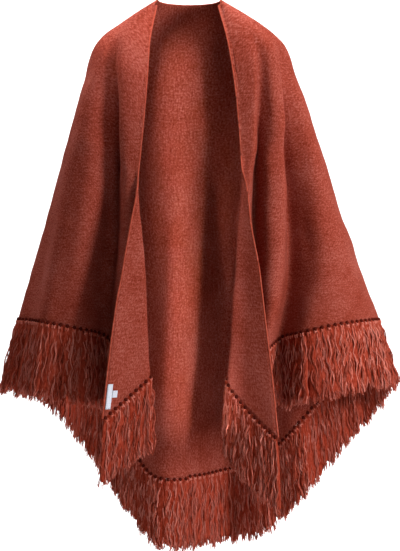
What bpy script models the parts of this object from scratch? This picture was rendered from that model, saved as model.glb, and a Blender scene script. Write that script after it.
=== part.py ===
"""Open-front knitted shawl poncho with a knotted fringe, standing in the shape it takes over a pair of shoulders.

Metres, +Z up, the front faces -Y, and +X is to the right as seen from the front. The origin is the centre of
the neck opening, level with the neck points of the shoulders.

The cloth is one knitted sheet, a half round with a straight edge. The straight edge runs up one front, round the
back of the neck and down the other front. The curved edge is the hem, and carries the fringe.
A point of the sheet is named by its place and its level. The level runs from 0 at the neck edge to 1 at the hem.
The place runs round the ring at that level: 0 is the left front, 1 the left side, 2 the centre back, 3 the right
side and 4 the right front. Past both ends of the ring lie the lapels, where each front edge turns back outwards.
"""

import math
from collections import namedtuple

import bmesh
import bpy
import numpy as np

# Driving dimensions
CLOTH_THICKNESS = 0.0025
SEAM_GAP = 0.0005
KNOT_GAP = 0.0011
FRINGE_UNEVENNESS = 0.05
FRINGE_RHYTHM = (2.4, 0.7)
TASSEL_PITCH = 0.0145
TASSEL_WIDTH = 0.0110
TASSEL_TIP_WIDTH = 0.0085
TASSEL_THICKNESS = 0.0045
KNOT_BAND_HEIGHT = 0.0070
LABEL_LENGTH = 0.050
LABEL_WIDTH = 0.011
LABEL_FROM_FREE_EDGE = 0.003
LABEL_FOOT_Z = -0.852
SIZE_TAB_LENGTH = 0.014
SIZE_TAB_WIDTH = 0.011
SIZE_TAB_FOOT_Z = -0.829
LABEL_THICKNESS = 0.0008

# Mesh sizes, and the levels of the sheet's rows
COLUMN_SPACING = 0.026
LAPEL_TURN_COLUMNS = 6
LAPEL_FLAT_COLUMNS = 4
TASSEL_ROWS = (0.5, 1.0)
LABEL_ROWS = 4
ROW_LEVELS = (
    0.00, 0.03, 0.06, 0.10, 0.14, 0.18, 0.23, 0.29, 0.35, 0.41,
    0.46, 0.51, 0.57, 0.64, 0.71, 0.79, 0.87, 0.94, 1.00,
)

# Colour and roughness of the rust heather knit, of the loose yarn and of the white woven tape
Finish = namedtuple("Finish", "colour roughness")
KNIT = Finish((0.235, 0.052, 0.034, 1.0), 0.95)
YARN = Finish((0.255, 0.060, 0.040, 1.0), 0.95)
WOVEN_TAPE = Finish((0.80, 0.80, 0.82, 1.0), 0.60)

# The ring of the sheet at each level: how far out each side lies, its height, and the depth and height of the
# front and of the back
Section = namedtuple("Section", "level left_side right_side side_z front_y front_z back_y back_z")
SECTIONS = (
    Section(0.00, 0.070, 0.066, 0.009, 0.020, -0.006, 0.076, 0.011),
    Section(0.10, 0.150, 0.150, -0.043, 0.084, -0.093, 0.112, -0.090),
    Section(0.18, 0.199, 0.197, -0.082, 0.114, -0.172, 0.130, -0.178),
    Section(0.30, 0.228, 0.231, -0.170, 0.135, -0.275, 0.140, -0.300),
    Section(0.45, 0.260, 0.273, -0.288, 0.144, -0.390, 0.140, -0.455),
    Section(0.65, 0.298, 0.325, -0.440, 0.147, -0.530, 0.135, -0.665),
    Section(0.85, 0.334, 0.377, -0.580, 0.146, -0.675, 0.130, -0.875),
    Section(1.00, 0.361, 0.412, -0.676, 0.144, -0.785, 0.126, -1.034),
)

# The two front edges: how far from the middle the edge of each front hangs, where it is the fold of the lapel once
# there is one, and how much cloth lies past the end of the ring
FrontEdge = namedtuple("FrontEdge", "level left_fold left_lapel right_fold right_lapel")
FRONT_EDGES = (
    FrontEdge(0.00, 0.071, 0.006, 0.060, 0.006),
    FrontEdge(0.10, 0.084, 0.006, 0.080, 0.006),
    FrontEdge(0.18, 0.088, 0.006, 0.092, 0.006),
    FrontEdge(0.30, 0.096, 0.006, 0.102, 0.006),
    FrontEdge(0.38, 0.102, 0.007, 0.106, 0.009),
    FrontEdge(0.45, 0.107, 0.011, 0.106, 0.024),
    FrontEdge(0.56, 0.101, 0.036, 0.100, 0.044),
    FrontEdge(0.66, 0.093, 0.061, 0.096, 0.067),
    FrontEdge(0.78, 0.089, 0.088, 0.090, 0.090),
    FrontEdge(0.90, 0.085, 0.110, 0.085, 0.114),
    FrontEdge(1.00, 0.081, 0.128, 0.077, 0.138),
)

# How each lapel turns back: the levels where its turn starts and ends, how far it turns, how much lower than the
# fold its corner hangs, and the power by which it drops across its width
Lapel = namedtuple("Lapel", "turn_start turn_end turn corner_drop drop_power")
LAPELS = {
    "left": Lapel(0.40, 0.50, math.radians(152), 0.088, 1.05),
    "right": Lapel(0.36, 0.46, math.radians(152), 0.126, 0.75),
}
LAPEL_TURN_RADIUS = (0.0030, 0.0110)
LAPEL_TURN_SHARE = 0.25
LAPEL_DROP_GROWTH = 4.0

# How steeply each ring falls from its sides to its front and back, at the neck edge and at the hem
FRONT_FALL = (1.0, 2.6)
BACK_FALL = {"left": (2.0, 4.8), "right": (2.0, 2.3)}
BACK_FLAT = 0.975
BACK_FLAT_SHARPNESS = 16

# The folds: their places at shoulder, chest and hem level, the levels between which they grow, how far they stand
# out (in, where negative), their half width, and how far they lean from straight out, towards the right front
Fold = namedtuple("Fold", "name shoulder chest hem start full depth width lean")
FOLD_LEVELS = (0.15, 0.45, 1.00)
FOLDS = (
    Fold("left front trough", 0.50, 0.245, 0.24, 0.06, 0.45, -0.074, 0.026, 0),
    Fold("left front crest", 0.80, 0.52, 0.50, 0.15, 0.90, 0.010, 0.050, 0),
    Fold("left side hollow", 0.93, 0.83, 0.80, 0.30, 1.00, -0.014, 0.035, 0),
    Fold("left back crest", 1.30, 1.26, 1.24, 0.25, 1.00, 0.022, 0.045, 0),
    Fold("left back trough", 1.48, 1.46, 1.45, 0.22, 1.00, -0.034, 0.040, 0),
    Fold("back left crest", 1.74, 1.72, 1.70, 0.25, 0.90, 0.034, 0.042, 0),
    Fold("back middle ridge", 1.98, 1.95, 1.93, 0.16, 0.85, -0.060, 0.044, -15),
    Fold("back middle hollow", 2.15, 2.15, 2.14, 0.20, 0.85, 0.066, 0.034, 0),
    Fold("right back trough", 2.42, 2.41, 2.40, 0.22, 1.00, -0.036, 0.042, 0),
    Fold("right back crest", 2.66, 2.66, 2.66, 0.25, 1.00, 0.024, 0.045, 0),
    Fold("right side hollow", 2.97, 3.06, 3.12, 0.30, 1.00, -0.012, 0.035, 0),
    Fold("right outer crest", 3.10, 3.30, 3.56, 0.18, 0.90, 0.012, 0.040, 0),
    Fold("right front trough", 3.24, 3.52, 3.78, 0.10, 0.60, -0.062, 0.021, 0),
    Fold("right inner trough", 3.64, 3.885, 3.925, 0.06, 0.50, -0.046, 0.015, 0),
)
FOLD_WIDTH_AT_NECK = 0.65
FRONT_EDGE_STRETCH = 0.035
RING_PLACES = np.linspace(0, 4, 1201)

# The fringe's stretches, by the places where each starts and ends, from the left lapel to the right one
Stretch = namedtuple("Stretch", "name first last")
STRETCHES = (
    Stretch("fringe_left_lapel", -1, 0),
    Stretch("fringe_left_front", 0, 1),
    Stretch("fringe_back_left", 1, 1.6),
    Stretch("fringe_back_centre", 1.6, 2.4),
    Stretch("fringe_back_right", 2.4, 3),
    Stretch("fringe_right_front", 3, 4),
    Stretch("fringe_right_lapel", 4, 5),
)
# The fringe: how long its tassels are at the places given and, at each place from -1 to 5, how far they follow the
# slope of the cloth above them instead of hanging plumb
LENGTH_PLACES = (-1, 0, 1, 1.25, 1.5, 1.75, 2, 2.25, 2.6, 3, 4, 5)
FRINGE_LENGTHS = (0.136, 0.154, 0.160, 0.174, 0.156, 0.145, 0.157, 0.166, 0.152, 0.145, 0.152, 0.154)
FRINGE_FOLLOW = (0.45, 0.45, 0.85, 0.5, 0.85, 0.45, 0.45)


def column_at(rows, column, level):
    """The value of one column of a table at a level, on a smooth curve through its rows."""
    levels = np.array([row.level for row in rows])
    values = np.array([getattr(row, column) for row in rows])
    slopes = np.gradient(values, levels)
    i = int(np.clip(np.searchsorted(levels, level, side="right") - 1, 0, len(rows) - 2))
    span = levels[i + 1] - levels[i]
    t = (level - levels[i]) / span
    start = (2 * t**3 - 3 * t**2 + 1) * values[i] + (t**3 - 2 * t**2 + t) * span * slopes[i]
    end = (3 * t**2 - 2 * t**3) * values[i + 1] + (t**3 - t**2) * span * slopes[i + 1]
    return float(start + end)


def ease(value):
    """0 below 0, 1 above 1, and a smooth S between."""
    value = np.clip(value, 0, 1)
    return value * value * (3 - 2 * value)


def between(ends, level):
    """A value that goes evenly from the neck edge's to the hem's."""
    return ends[0] + (ends[1] - ends[0]) * level


def unit(vectors):
    """The vectors at length 1."""
    return vectors / np.linalg.norm(vectors, axis=-1, keepdims=True)


def lengths_along(points):
    """The distance of each point from the first one, along the line through them."""
    return np.concatenate([[0], np.cumsum(np.linalg.norm(np.diff(points, axis=0), axis=1))])


def points_at(points, along, distances):
    """Points at the given distances along the line through points."""
    return np.column_stack([np.interp(distances, along, points[:, axis]) for axis in range(points.shape[1])])


def lapel_shape(level, hand):
    """The turn, its radius, the lapel's length and how far it reaches past the end of the ring, at a level."""
    lapel = LAPELS[hand]
    turn = lapel.turn * float(ease((level - lapel.turn_start) / (lapel.turn_end - lapel.turn_start)))
    radius = between(LAPEL_TURN_RADIUS, level)
    length = column_at(FRONT_EDGES, f"{hand}_lapel", level)
    if turn < math.pi / 2:
        reach = radius * math.sin(turn) + (length - radius * turn) * math.cos(turn)
    else:
        reach = radius
    return turn, radius, length, reach


def plain_ring(level):
    """The ring at a level before it folds: a quarter of an ellipse for each front and each half of the back."""
    at = {name: column_at(SECTIONS, name, level) for name in Section._fields[1:]}
    points = np.zeros((len(RING_PLACES), 3))
    for hand, sign in (("left", -1), ("right", 1)):
        side = at[f"{hand}_side"]
        front_end = column_at(FRONT_EDGES, f"{hand}_fold", level) + lapel_shape(level, hand)[3]
        from_front = RING_PLACES if hand == "left" else 4 - RING_PLACES
        angle = from_front * math.pi / 2
        front = from_front <= 1
        x = np.where(front, front_end + (side - front_end) * np.sin(angle), side * np.sin(angle))
        y = np.where(front, -at["front_y"], -at["back_y"]) * np.cos(angle)
        front_fall = np.clip(1 - np.sin(angle), 0, 1) ** between(FRONT_FALL, level)
        back_fall = np.clip(-np.cos(angle) / BACK_FLAT, 0, None) ** between(BACK_FALL[hand], level)
        back_fall /= (1 + back_fall**BACK_FLAT_SHARPNESS) ** (1 / BACK_FLAT_SHARPNESS)
        front_z = (at["front_z"] - at["side_z"]) * front_fall
        back_z = (at["back_z"] - at["side_z"]) * back_fall
        z = at["side_z"] + np.where(front, front_z, back_z)
        mine = from_front <= 2
        points[mine] = np.column_stack([sign * x, y, z])[mine]
    return points


def folded_ring(level):
    """The ring at a level with its folds: each moves the cloth out or in, most at its middle, as a bell curve."""
    points = plain_ring(level)
    along = lengths_along(points)
    heading = unit(np.gradient(points[:, :2], axis=0))
    outward = np.column_stack([-heading[:, 1], heading[:, 0]])
    from_edges = np.minimum(along, along[-1] - along)
    free = ease(from_edges / FRONT_EDGE_STRETCH)
    folded = points.copy()
    for fold in FOLDS:
        place = np.interp(level, FOLD_LEVELS, (fold.shoulder, fold.chest, fold.hem))
        middle = np.interp(place, RING_PLACES, along)
        width = fold.width * between((FOLD_WIDTH_AT_NECK, 1), level)
        depth = fold.depth * float(ease((level - fold.start) / (fold.full - fold.start)))
        bell = depth * np.exp(-0.5 * ((along - middle) / width) ** 2) * free
        lean = math.radians(fold.lean)
        turned_x = outward[:, 0] * math.cos(lean) - outward[:, 1] * math.sin(lean)
        turned_y = outward[:, 0] * math.sin(lean) + outward[:, 1] * math.cos(lean)
        folded[:, 0] += bell * turned_x
        folded[:, 1] += bell * turned_y
    return folded


def lapel_points(level, hand, end):
    """The lapel's points at a level, from the end of the ring round its turn and across its flat to the free edge."""
    turn, radius, length, _ = lapel_shape(level, hand)
    lapel = LAPELS[hand]
    turned = radius * turn
    turn_stretch = max(turned, LAPEL_TURN_SHARE * length)
    distances = np.concatenate([
        np.linspace(0, turn_stretch, LAPEL_TURN_COLUMNS + 1)[1:],
        np.linspace(turn_stretch, length, LAPEL_FLAT_COLUMNS + 1)[1:],
    ])
    angle = np.minimum(distances / radius, turn)
    flat = np.maximum(distances - turned, 0)
    inward = radius * np.sin(angle) + flat * math.cos(turn)
    forward = radius * (1 - np.cos(angle)) + flat * math.sin(turn)
    past_fold = np.clip((distances - turned / 2) / (length - turned / 2), 0, 1)
    drop = lapel.corner_drop * level**LAPEL_DROP_GROWTH * past_fold**lapel.drop_power
    towards_middle = 1 if hand == "left" else -1
    return end + np.column_stack([towards_middle * inward, -forward, -drop])


def panel_columns():
    """The number of columns in each quarter of the ring, from the hem's length there."""
    hem = folded_ring(1.0)
    along = lengths_along(hem)
    quarter_ends = np.interp(range(5), RING_PLACES, along)
    return [max(round(float(length) / COLUMN_SPACING), 4) for length in np.diff(quarter_ends)]


def sheet_row(level, columns):
    """The sheet's points at a level, from the left lapel's free edge to the right one's, evenly spaced in quarters."""
    ring = folded_ring(level)
    along = lengths_along(ring)
    quarter_ends = np.interp(range(5), RING_PLACES, along)
    distances = [quarter_ends[0]]
    for quarter, count in enumerate(columns):
        distances.extend(np.linspace(quarter_ends[quarter], quarter_ends[quarter + 1], count + 1)[1:])
    row = points_at(ring, along, distances)
    left = lapel_points(level, "left", row[0])
    right = lapel_points(level, "right", row[-1])
    return np.vstack([left[::-1], row, right])


def new_material(name, finish):
    """A plain Principled material."""
    material = bpy.data.materials.new(name)
    material.use_nodes = True
    shader = material.node_tree.nodes["Principled BSDF"]
    shader.inputs["Base Color"].default_value = finish.colour
    shader.inputs["Roughness"].default_value = finish.roughness
    return material


def new_wall(name, points, finish, thickness, cut_row=None):
    """A wall on the grid points[row, column]; from cut_row down, every second column of faces is left out."""
    rows, columns = points.shape[:2]
    shape = bmesh.new()
    bmesh.ops.create_grid(shape, x_segments=columns - 1, y_segments=rows - 1, size=1)
    to_columns, to_rows = (columns - 1) / 2, (rows - 1) / 2
    for face in list(shape.faces):
        centre = face.calc_center_median()
        column = int((centre.x + 1) * to_columns)
        row = int((centre.y + 1) * to_rows)
        if cut_row is not None and row >= cut_row and column % 2 == 1:
            shape.faces.remove(face)
    for corner in shape.verts:
        column = round((corner.co.x + 1) * to_columns)
        row = round((corner.co.y + 1) * to_rows)
        corner.co = points[row, column]
    loose = [edge for edge in shape.edges if not edge.link_faces]
    bmesh.ops.delete(shape, geom=loose, context="EDGES")
    mesh = bpy.data.meshes.new(name)
    shape.to_mesh(mesh)
    shape.free()
    mesh.shade_smooth()
    mesh.materials.append(new_material(name, finish))
    piece = bpy.data.objects.new(name, mesh)
    collection.objects.link(piece)
    wall = piece.modifiers.new("wall", "SOLIDIFY")
    wall.thickness = thickness
    wall.offset = 0
    return piece


def fringe_points(stretch, rows, place_columns):
    """The corners of a comb of tassels along a stretch of the hem: two columns for each tassel, and a row for the
    top of the band of knots, one for its foot, and one for each of TASSEL_ROWS down the tassels."""
    hem = rows[-1]
    along = lengths_along(hem)
    column = np.arange(len(hem))
    ahead = unit(np.gradient(hem, axis=0))
    down = unit(rows[-1] - rows[-2])
    square_down = unit(down - ahead * np.sum(down * ahead, axis=1, keepdims=True))

    ends = np.interp((stretch.first, stretch.last), range(-1, 6), place_columns)
    start, end = np.interp(ends, column, along)
    count = round((end - start) / TASSEL_PITCH)
    number = np.arange(count)
    middles = start + (number + 0.5) * (end - start) / count
    sides = (middles[:, None] + np.array([-0.5, 0.5]) * TASSEL_WIDTH).ravel()
    root = points_at(hem, along, sides)
    root_centre = np.repeat((root[0::2] + root[1::2]) / 2, 2, axis=0)
    band_way = unit(points_at(square_down, along, sides))

    middle_columns = np.interp(middles, along, column)
    follow = np.interp(middle_columns, place_columns, FRINGE_FOLLOW)[:, None]
    plumb = np.array([0, 0, -1])
    hang = np.repeat(unit(unit(points_at(down, along, middles)) * follow + plumb * (1 - follow)), 2, axis=0)
    first_beat, second_beat = FRINGE_RHYTHM
    uneven = 1 + FRINGE_UNEVENNESS * np.sin(number * first_beat) * np.cos(number * second_beat)
    places = np.interp(middle_columns, place_columns, range(-1, 6))
    length = np.repeat(np.interp(places, LENGTH_PLACES, FRINGE_LENGTHS) * uneven, 2)[:, None]

    lines = [root + band_way * KNOT_GAP, root + band_way * (KNOT_GAP + KNOT_BAND_HEIGHT)]
    for share in TASSEL_ROWS:
        narrowed = between((1, TASSEL_TIP_WIDTH / TASSEL_WIDTH), share)
        band_left = (KNOT_GAP + KNOT_BAND_HEIGHT) * (1 - share)
        lines.append(root_centre + (root - root_centre) * narrowed + band_way * band_left + hang * length * share)
    return np.array(lines)


def label_points(rows, foot_z, from_free_edge, length, width):
    """The corners of a tab lying on the left lapel, made from the lapel's own points and moved out."""
    heights = rows[::-1, 0, 2]
    lines = []
    for z in foot_z + np.linspace(0, length, LABEL_ROWS):
        edge, inner = (np.array([np.interp(z, heights, rows[::-1, column, axis]) for axis in range(3)])
                       for column in (0, 1))
        inner[2] = z
        lines.append([edge + unit(inner - edge) * (from_free_edge + width * share) for share in (0, 1)])
    points = np.array(lines)
    out = unit(np.cross(points[1, 0] - points[0, 0], points[0, 1] - points[0, 0]))
    forward = -out if out[1] > 0 else out
    return points + forward * (CLOTH_THICKNESS / 2 + SEAM_GAP + LABEL_THICKNESS / 2)


for old in list(bpy.data.objects):
    bpy.data.objects.remove(old, do_unlink=True)
collection = bpy.data.collections.new("knitted_shawl_poncho")
bpy.context.scene.collection.children.link(collection)

# Cloth
columns = panel_columns()
rows = np.array([sheet_row(level, columns) for level in ROW_LEVELS])
new_wall("shawl_cloth", rows, KNIT, CLOTH_THICKNESS)

# Fringe
lapel_columns = LAPEL_TURN_COLUMNS + LAPEL_FLAT_COLUMNS
place_columns = np.cumsum([0, lapel_columns, *columns, lapel_columns])
for stretch in STRETCHES:
    new_wall(stretch.name, fringe_points(stretch, rows, place_columns), YARN, TASSEL_THICKNESS, cut_row=1)

# Label and size tab
label = label_points(rows, LABEL_FOOT_Z, LABEL_FROM_FREE_EDGE, LABEL_LENGTH, LABEL_WIDTH)
new_wall("woven_label", label, WOVEN_TAPE, LABEL_THICKNESS)
from_free_edge = LABEL_FROM_FREE_EDGE + LABEL_WIDTH + SEAM_GAP
size_tab = label_points(rows, SIZE_TAB_FOOT_Z, from_free_edge, SIZE_TAB_LENGTH, SIZE_TAB_WIDTH)
new_wall("size_tab", size_tab, WOVEN_TAPE, LABEL_THICKNESS)
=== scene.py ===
import logging
import math
from dataclasses import dataclass, field
from enum import Enum

import bpy
import numpy as np
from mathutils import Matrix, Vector


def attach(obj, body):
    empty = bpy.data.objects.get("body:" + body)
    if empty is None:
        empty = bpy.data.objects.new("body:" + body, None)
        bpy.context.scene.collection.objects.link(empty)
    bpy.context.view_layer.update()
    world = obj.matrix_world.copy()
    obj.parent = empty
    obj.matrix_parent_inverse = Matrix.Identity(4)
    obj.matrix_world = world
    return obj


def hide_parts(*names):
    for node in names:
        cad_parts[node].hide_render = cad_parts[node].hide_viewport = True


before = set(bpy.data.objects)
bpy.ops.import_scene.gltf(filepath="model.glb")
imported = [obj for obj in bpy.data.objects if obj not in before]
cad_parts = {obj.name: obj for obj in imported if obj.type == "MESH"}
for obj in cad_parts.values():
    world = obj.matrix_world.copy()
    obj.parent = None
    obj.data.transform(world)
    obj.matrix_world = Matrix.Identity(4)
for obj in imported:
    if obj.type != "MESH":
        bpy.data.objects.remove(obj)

log = logging.getLogger("shawl")
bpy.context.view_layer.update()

# Cloth, in metres: the same sizes as the solids
CLOTH_THICKNESS = 0.0024
SEAM_GAP = 0.0005
KNOT_GAP = 0.0011
KNOT_BAND_HEIGHT = 0.0070
TASSEL_PITCH = 0.0145
LABEL_THICKNESS = 0.0008
FRINGE_UNEVENNESS = 0.05
FRINGE_RHYTHM = (2.4, 0.7)
FLAT_SIZE = (2.0, 1.03)
NECK_REACH = 0.14

# Each knot and the cords behind it, in metres: a dark tube of painted shade in the hole, two loops below it
# and a wrap round them
HOLE_DROP = 0.0012
HOLE_DEPTH = 0.0040
HOLE_RADII = 0.0043 * np.array([0.7, 1, 1, 0.7])
HOLE_SIDES = 8
LOOP_DROP = 0.0072
LOOP_OFFSETS = (-0.0026, 0.0026)
LOOP_SIZE = (0.0036, 0.0030)
LOOP_RADIUS = 0.0015
WRAP_DROP = KNOT_GAP + KNOT_BAND_HEIGHT * 0.85
WRAP_SIZE = (0.0034, 0.0028)
WRAP_RADIUS = 0.0018
RING_POINTS = 10
RING_SIDES = 5
CORD_DROPS = (0.0018, 0.0050, 0.0080, 0.0110)
CORD_RADIUS = 0.0016
CORD_SIDES = 6
CORD_POINTS_A_TASSEL = 3

# The loose yarn, in metres or in pitches of the tassels, and its waves along the hem and out from it
YARN_DROP = KNOT_GAP + KNOT_BAND_HEIGHT * 0.45
HANG_LEVELS = 0.06
CORE_POINTS = 15
CORE_SIDES = 6
CORE_WIDTH_AT_KNOT = 0.0060
CORE_WIDTH_IN_PITCHES = 0.72
CORE_FLATNESS = 0.22
CORE_END_SHARE = 0.08
CORE_SWELL = 0.10
CORE_SWAY = 0.0012
CORE_LENGTHS = (0.92, 0.96)
STRAND_SIDES = 3
FAN_START = 0.03
FAN_SHARE = 0.34
FAN_WIDTH_AT_KNOT = 0.0036
FAN_WIDTH_IN_PITCHES = 0.58
FAN_DEPTHS = (0.0018, 0.0046)
FAN_LIFT = 0.03
CLUMP_PLACES = (-0.84, 0.84)
CLUMP_JITTER = (-0.14, 0.14)
CLUMP_DEPTHS = (-0.7, 0.7)
CLUMP_LEANS = (-0.0060, 0.0060)
CLUMP_LENGTHS = (0.98, 1.02)
CLUMP_BEATS = (2.6, 4.2)
CLUMP_WAVE = (0.0024, 0.0026)
STRAND_JITTER = (-0.24, 0.24)
STRAND_DEPTHS = (-0.5, 0.5)
STRAND_LENGTHS = (0.965, 1.005)
STRAND_THICKNESSES = (0.8, 1.2)
STRAND_BEATS = (3.0, 6.0)
STRAND_WAVE = (0.0008, 0.0006)
TASSEL_LEAN_SPREAD = 0.0040
STRAY_LEAN_SPREAD = 0.0120
WAVE_GROWTH = 0.18

# Tones of the yarn, from 0, dark, to 1, light; the hole's painted shade is darker than any strand
HOLE_SHADE_TONE = -0.6
# Painted shade: the cords are coloured dark as the shade in the gaps between the knots
CORD_SHADE_TONE = 0.14
# Painted shade: the cores are coloured dark as the shade among the strands
CORE_SHADE_TONES = (0.14, 0.28)
LOOP_TONES = (0.40, 0.80)
WRAP_TONES = (0.45, 0.85)
CLUMP_TONES = (0.38, 0.82)
STRAND_TONE_SPREAD = 0.14
ROLLED_EDGE_TONE = 0.48

# How finely the cloth is drawn
LEVEL_COUNT = 134
QUARTER_COLUMNS = (54, 76, 82, 60)
LAPEL_TURN_COLUMNS = 8
LAPEL_FLAT_COLUMNS = 10
RING_PLACES = np.linspace(0, 4, 1201)


class Hand(Enum):
    """The two fronts, as the picture shows them."""

    LEFT = "left"
    RIGHT = "right"


class Slot(Enum):
    """The material slots."""

    KNIT = "knit"
    FRINGE = "fringe"
    LABEL = "label"


@dataclass(frozen=True)
class Section:
    """The ring of the cloth at one level: its half widths, its depths and the height of each part."""

    level: float
    left_side: float
    right_side: float
    side_z: float
    front_y: float
    front_z: float
    back_y: float
    back_z: float


@dataclass(frozen=True)
class FrontEdge:
    """Where each front's edge hangs at one level, and how much cloth lies past the end of the ring."""

    level: float
    left_fold: float
    left_lapel: float
    right_fold: float
    right_lapel: float


@dataclass(frozen=True)
class Lapel:
    """How one front edge turns back outwards."""

    turn_start: float
    turn_end: float
    turn: float
    corner_drop: float
    drop_power: float


@dataclass(frozen=True)
class Fold:
    """A large fold, in the solids too: its places, its growth, its size and its lean in degrees."""

    shoulder: float
    chest: float
    hem: float
    start: float
    full: float
    depth: float
    width: float
    lean: float = 0.0


@dataclass(frozen=True)
class Crease:
    """A smaller ridge (out) or trough (in), from one place and level of the cloth to another."""

    start_place: float
    start_level: float
    end_place: float
    end_level: float
    depth: float
    before: float
    after: float


@dataclass(frozen=True)
class Stretch:
    """One stretch of the fringe, between two places of the hem."""

    name: str
    first: float
    last: float


@dataclass(frozen=True)
class Tab:
    """A woven tape sewn to the left lapel."""

    name: str
    foot_z: float
    length: float
    width: float
    from_free_edge: float


SECTIONS = (
    Section(0.00, 0.070, 0.066, 0.009, 0.020, -0.006, 0.076, 0.011),
    Section(0.10, 0.150, 0.150, -0.043, 0.084, -0.093, 0.112, -0.090),
    Section(0.18, 0.199, 0.197, -0.082, 0.114, -0.172, 0.130, -0.178),
    Section(0.30, 0.228, 0.231, -0.170, 0.135, -0.275, 0.140, -0.300),
    Section(0.45, 0.260, 0.273, -0.288, 0.144, -0.390, 0.140, -0.455),
    Section(0.65, 0.298, 0.325, -0.440, 0.147, -0.530, 0.135, -0.665),
    Section(0.85, 0.334, 0.377, -0.580, 0.146, -0.675, 0.130, -0.875),
    Section(1.00, 0.361, 0.412, -0.676, 0.144, -0.785, 0.126, -1.034),
)

FRONT_EDGES = (
    FrontEdge(0.00, 0.071, 0.006, 0.060, 0.006),
    FrontEdge(0.10, 0.084, 0.006, 0.080, 0.006),
    FrontEdge(0.18, 0.088, 0.006, 0.092, 0.006),
    FrontEdge(0.30, 0.096, 0.006, 0.102, 0.006),
    FrontEdge(0.38, 0.102, 0.007, 0.106, 0.009),
    FrontEdge(0.45, 0.107, 0.011, 0.106, 0.024),
    FrontEdge(0.56, 0.101, 0.036, 0.100, 0.044),
    FrontEdge(0.66, 0.093, 0.061, 0.096, 0.067),
    FrontEdge(0.78, 0.089, 0.088, 0.090, 0.090),
    FrontEdge(0.90, 0.085, 0.110, 0.085, 0.114),
    FrontEdge(1.00, 0.081, 0.128, 0.077, 0.138),
)

LAPELS = {
    Hand.LEFT: Lapel(0.40, 0.50, math.radians(152), 0.088, 1.05),
    Hand.RIGHT: Lapel(0.36, 0.46, math.radians(152), 0.126, 0.75),
}
LAPEL_TURN_RADIUS = (0.0030, 0.0110)
LAPEL_TURN_SHARE = 0.25
LAPEL_DROP_GROWTH = 4.0

FRONT_FALL = (1.0, 2.6)
BACK_FALL = {Hand.LEFT: (2.0, 4.8), Hand.RIGHT: (2.0, 2.3)}
BACK_FLAT = 0.975
BACK_FLAT_SHARPNESS = 16

FOLD_LEVELS = (0.15, 0.45, 1.00)
FOLD_WIDTH_AT_NECK = 0.65
FRONT_EDGE_STRETCH = 0.035
FOLDS = {
    "left front trough": Fold(0.50, 0.245, 0.24, 0.06, 0.45, -0.074, 0.026),
    "left front crest": Fold(0.80, 0.52, 0.50, 0.15, 0.90, 0.010, 0.050),
    "left side hollow": Fold(0.93, 0.83, 0.80, 0.30, 1.00, -0.014, 0.035),
    "left back crest": Fold(1.30, 1.26, 1.24, 0.25, 1.00, 0.022, 0.045),
    "left back trough": Fold(1.48, 1.46, 1.45, 0.22, 1.00, -0.034, 0.040),
    "back left crest": Fold(1.74, 1.72, 1.70, 0.25, 0.90, 0.034, 0.042),
    "back middle ridge": Fold(1.98, 1.95, 1.93, 0.16, 0.85, -0.060, 0.044, -15),
    "back middle hollow": Fold(2.15, 2.15, 2.14, 0.20, 0.85, 0.066, 0.034),
    "right back trough": Fold(2.42, 2.41, 2.40, 0.22, 1.00, -0.036, 0.042),
    "right back crest": Fold(2.66, 2.66, 2.66, 0.25, 1.00, 0.024, 0.045),
    "right side hollow": Fold(2.97, 3.06, 3.12, 0.30, 1.00, -0.012, 0.035),
    "right outer crest": Fold(3.10, 3.30, 3.56, 0.18, 0.90, 0.012, 0.040),
    "right front trough": Fold(3.24, 3.52, 3.78, 0.10, 0.60, -0.062, 0.021),
    "right inner trough": Fold(3.64, 3.885, 3.925, 0.06, 0.50, -0.046, 0.015),
}

# The smaller creases. Places: 0 left front, 1 left side, 2 centre back, 3 right side, 4 right front; -1 to 0
# and 4 to 5 are the lapels. Depth, and the half widths before and after the middle, are in metres.
CREASES = {
    "left shoulder pull": Crease(0.60, 0.04, 0.80, 0.34, -0.0050, 0.012, 0.020),
    "left chest ridge": Crease(0.42, 0.16, 0.36, 0.62, 0.0050, 0.014, 0.022),
    "left outer groove": Crease(0.68, 0.40, 0.66, 0.95, -0.0040, 0.016, 0.026),
    "left outer ridge": Crease(0.70, 0.35, 0.72, 1.00, 0.0050, 0.016, 0.024),
    "left front groove": Crease(0.40, 0.50, 0.40, 1.00, -0.0050, 0.012, 0.020),
    "left side pull": Crease(0.90, 0.10, 0.84, 0.50, -0.0025, 0.014, 0.018),
    "right shoulder pull": Crease(3.42, 0.04, 3.20, 0.34, -0.0045, 0.020, 0.012),
    "right sleeve ridge": Crease(3.30, 0.22, 3.36, 0.80, 0.0035, 0.020, 0.014),
    "right sleeve groove": Crease(3.24, 0.30, 3.44, 0.95, -0.0040, 0.018, 0.014),
    "right chest groove": Crease(3.60, 0.12, 3.66, 0.50, -0.0040, 0.012, 0.012),
    "back left groove": Crease(1.60, 0.18, 1.58, 0.85, -0.0055, 0.016, 0.020),
    "back left ridge": Crease(1.84, 0.14, 1.82, 0.80, 0.0050, 0.014, 0.018),
    "back right ridge": Crease(2.30, 0.14, 2.28, 0.85, 0.0055, 0.014, 0.018),
    "back right groove": Crease(2.54, 0.20, 2.56, 0.95, -0.0060, 0.018, 0.016),
    "back shoulder pull": Crease(1.40, 0.08, 1.30, 0.45, -0.0045, 0.016, 0.016),
    "back right pull": Crease(2.62, 0.08, 2.80, 0.50, -0.0045, 0.016, 0.016),
    "left elbow ridge": Crease(1.14, 0.35, 1.18, 0.95, 0.0040, 0.020, 0.018),
    "right elbow ridge": Crease(2.82, 0.35, 2.80, 0.95, 0.0020, 0.018, 0.020),
}
CREASE_FADE = 0.25
WAVE_LENGTHS = (0.21, 0.16, 0.12, 0.09, 0.07, 0.055, 0.045)
WAVE_HEIGHT = 0.0035
WAVE_FREE_LEVEL = 0.2

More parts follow.
